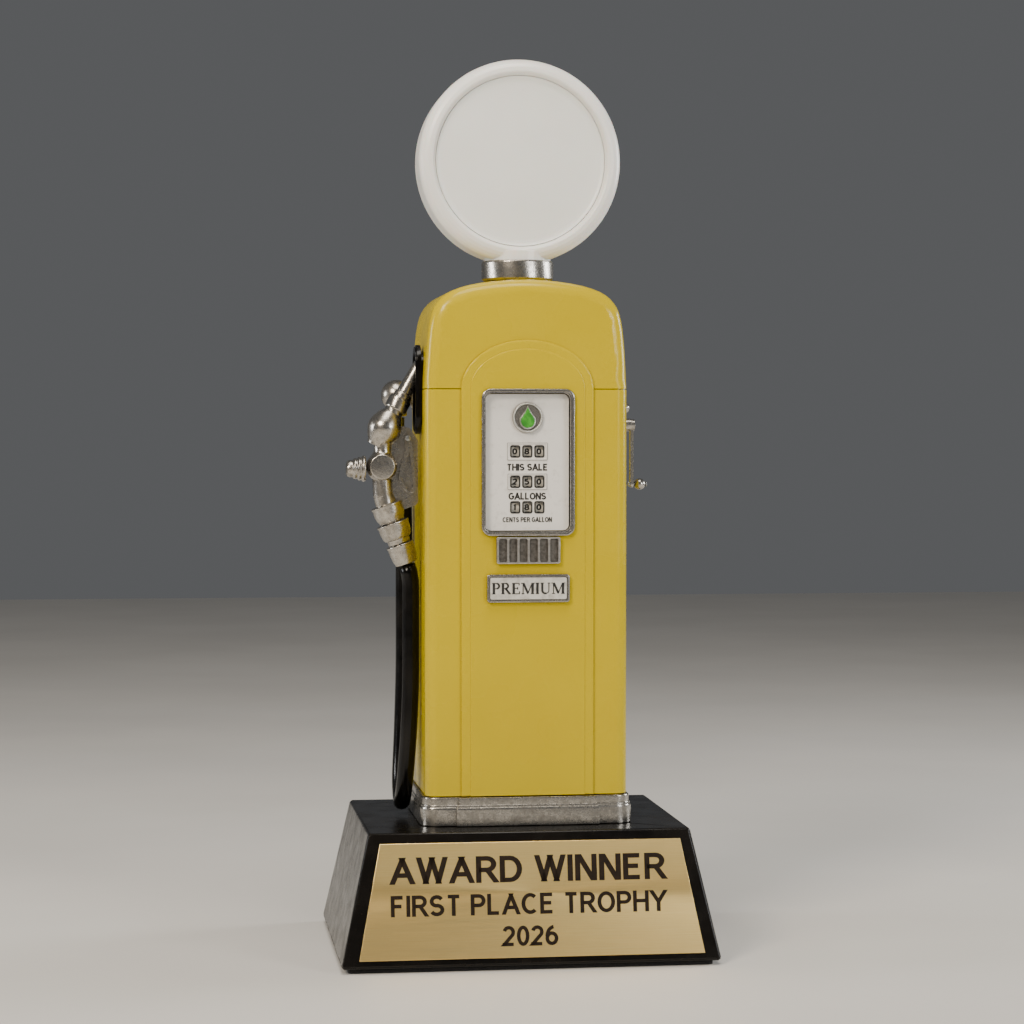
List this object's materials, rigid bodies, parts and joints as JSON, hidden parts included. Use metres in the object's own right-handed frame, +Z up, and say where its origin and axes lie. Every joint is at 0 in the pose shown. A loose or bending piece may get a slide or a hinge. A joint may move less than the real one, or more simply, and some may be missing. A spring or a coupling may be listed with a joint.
{
  "type": "gas pump trophy",
  "caption": "Tabletop gas pump in the old globe-topped style: round-shouldered cabinet, dial with number wheels, side nozzle and looped hose, crank, on a black plinth.",
  "frame": {"origin": "centre of the underside of the felt pad, at the middle of the footprint of the base", "axes": "+Z up, the dial and the name plate face -Y, the nozzle hangs on the -X side and the crank is on the +X side"},
  "size_m": [0.1266, 0.1001, 0.3049],
  "materials": {
    "cabinet_paint": "glossy golden yellow enamel",
    "antique_silver": "antique silver, worn",
    "base_lacquer": "black piano lacquer",
    "plate_brass": "brushed brass",
    "base_felt": "felt",
    "zinc_steel": "zinc plated",
    "globe_white": "satin warm white",
    "dial_white": "satin",
    "wheel_white": "satin",
    "badge_green": "gloss enamel",
    "sign_cream": "satin",
    "hose_rubber": "glossy black rubber"
  },
  "bodies": {
    "stand": {"trophy_base": "base_lacquer", "felt_pad": "base_felt", "name_plate": "plate_brass", "tie_bolt": "zinc_steel", "tie_washer": "zinc_steel", "tie_nut": "zinc_steel", "skirt": "antique_silver", "lower_cabinet": "cabinet_paint", "hood": "cabinet_paint", "front_panel": "cabinet_paint", "rear_panel": "cabinet_paint", "rear_screw_top": "zinc_steel", "rear_screw_bottom": "zinc_steel", "dial_bezel": "antique_silver", "dial_face": "dial_white", "emblem_badge": "antique_silver", "emblem_drop": "badge_green", "register_frame": "zinc_steel", "price_shaft": "zinc_steel", "louvre_grille": "antique_silver", "sign_frame": "antique_silver", "sign_insert": "sign_cream", "globe_body": "globe_white", "globe_lens_front": "globe_white", "globe_lens_rear": "globe_white", "globe_collar": "antique_silver", "globe_set_screw": "zinc_steel", "nozzle_boot": "hose_rubber", "hose_elbow": "antique_silver", "hose": "hose_rubber"},
    "nozzle": {"nozzle_body": "antique_silver", "nozzle_spout": "antique_silver", "valve_cap": "antique_silver", "trigger_pin": "zinc_steel"},
    "trigger": {"trigger_lever": "antique_silver"},
    "hose_end": {"hose_swivel": "antique_silver", "hose_ferrule": "antique_silver"},
    "crank": {"crank_shaft": "plate_brass", "crank_arm": "antique_silver", "knob_pin": "zinc_steel"},
    "knob": {"crank_knob": "antique_silver"},
    "lock": {"lock_cylinder": "antique_silver", "lock_cam": "zinc_steel"},
    "idler": {"idler_gear": "plate_brass"},
    "sale_units_wheel": {"sale_shaft": "plate_brass", "sale_units": "wheel_white"},
    "sale_tens_wheel": {"sale_tens": "wheel_white"},
    "sale_hundreds_wheel": {"sale_hundreds": "wheel_white"},
    "volume_units_wheel": {"volume_shaft": "plate_brass", "volume_units": "wheel_white"},
    "volume_tens_wheel": {"volume_tens": "wheel_white"},
    "volume_hundreds_wheel": {"volume_hundreds": "wheel_white"},
    "price_units_wheel": {"price_units": "wheel_white"},
    "price_tens_wheel": {"price_tens": "wheel_white"},
    "price_hundreds_wheel": {"price_hundreds": "wheel_white"}
  },
  "joints": [
    {"name": "nozzle_slide", "type": "slide", "parent": "stand", "child": "nozzle", "axis": [-0.4848, 0, -0.8746], "range_m": [0, 0.01], "deforming": ["hose"]},
    {"name": "trigger_pivot", "type": "hinge", "parent": "nozzle", "child": "trigger", "pos_m": [-0.0379, -0.011, 0.1754], "axis": [0, 1, 0], "range_deg": [0, 5], "stiffness_Nm_per_rad": 0.002},
    {"name": "hose_swivel_turn", "type": "hinge", "parent": "nozzle", "child": "hose_end", "pos_m": [-0.04207, -0.011, 0.14371], "axis": [0.3256, 0, -0.9455], "continuous": true},
    {"name": "crank_turn", "type": "hinge", "parent": "stand", "child": "crank", "pos_m": [0.039, -0.0085, 0.18], "axis": [1, 0, 0], "continuous": true},
    {"name": "knob_spin", "type": "hinge", "parent": "crank", "child": "knob", "pos_m": [0.0427, -0.0085, 0.1596], "axis": [1, 0, 0], "continuous": true},
    {"name": "lock_turn", "type": "hinge", "parent": "stand", "child": "lock", "pos_m": [0.0354, -0.017, 0.1858], "axis": [1, 0, 0], "range_deg": [0, 90]},
    {"name": "sale_units_turn", "type": "hinge", "parent": "stand", "child": "sale_units_wheel", "pos_m": [0.001, -0.02195, 0.171], "axis": [1, 0, 0], "continuous": true},
    {"name": "sale_tens_turn", "type": "hinge", "parent": "stand", "child": "sale_tens_wheel", "pos_m": [0.001, -0.02195, 0.171], "axis": [1, 0, 0], "continuous": true},
    {"name": "sale_hundreds_turn", "type": "hinge", "parent": "stand", "child": "sale_hundreds_wheel", "pos_m": [-0.0031, -0.02195, 0.171], "axis": [1, 0, 0], "continuous": true},
    {"name": "idler_turn", "type": "hinge", "parent": "stand", "child": "idler", "pos_m": [0.012, -0.01631, 0.1659], "axis": [1, 0, 0], "continuous": true},
    {"name": "volume_units_turn", "type": "hinge", "parent": "stand", "child": "volume_units_wheel", "pos_m": [0.0051, -0.02195, 0.1608], "axis": [1, 0, 0], "continuous": true},
    {"name": "volume_tens_turn", "type": "hinge", "parent": "stand", "child": "volume_tens_wheel", "pos_m": [0.001, -0.02195, 0.1608], "axis": [1, 0, 0], "continuous": true},
    {"name": "volume_hundreds_turn", "type": "hinge", "parent": "stand", "child": "volume_hundreds_wheel", "pos_m": [-0.0031, -0.02195, 0.1608], "axis": [1, 0, 0], "continuous": true},
    {"name": "price_units_turn", "type": "hinge", "parent": "stand", "child": "price_units_wheel", "pos_m": [0.0051, -0.02195, 0.1522], "axis": [1, 0, 0], "continuous": true},
    {"name": "price_tens_turn", "type": "hinge", "parent": "stand", "child": "price_tens_wheel", "pos_m": [0.001, -0.02195, 0.1522], "axis": [1, 0, 0], "continuous": true},
    {"name": "price_hundreds_turn", "type": "hinge", "parent": "stand", "child": "price_hundreds_wheel", "pos_m": [-0.0031, -0.02195, 0.1522], "axis": [1, 0, 0], "continuous": true}
  ],
  "couplings": [
    {"joint": "sale_units_turn", "follows": "crank_turn", "ratio": -3.5},
    {"joint": "sale_tens_turn", "follows": "crank_turn", "ratio": -0.35},
    {"joint": "sale_hundreds_turn", "follows": "crank_turn", "ratio": -0.035},
    {"joint": "idler_turn", "follows": "crank_turn", "ratio": 3.15},
    {"joint": "volume_units_turn", "follows": "crank_turn", "ratio": -3.5},
    {"joint": "volume_tens_turn", "follows": "crank_turn", "ratio": -0.35},
    {"joint": "volume_hundreds_turn", "follows": "crank_turn", "ratio": -0.035}
  ]
}
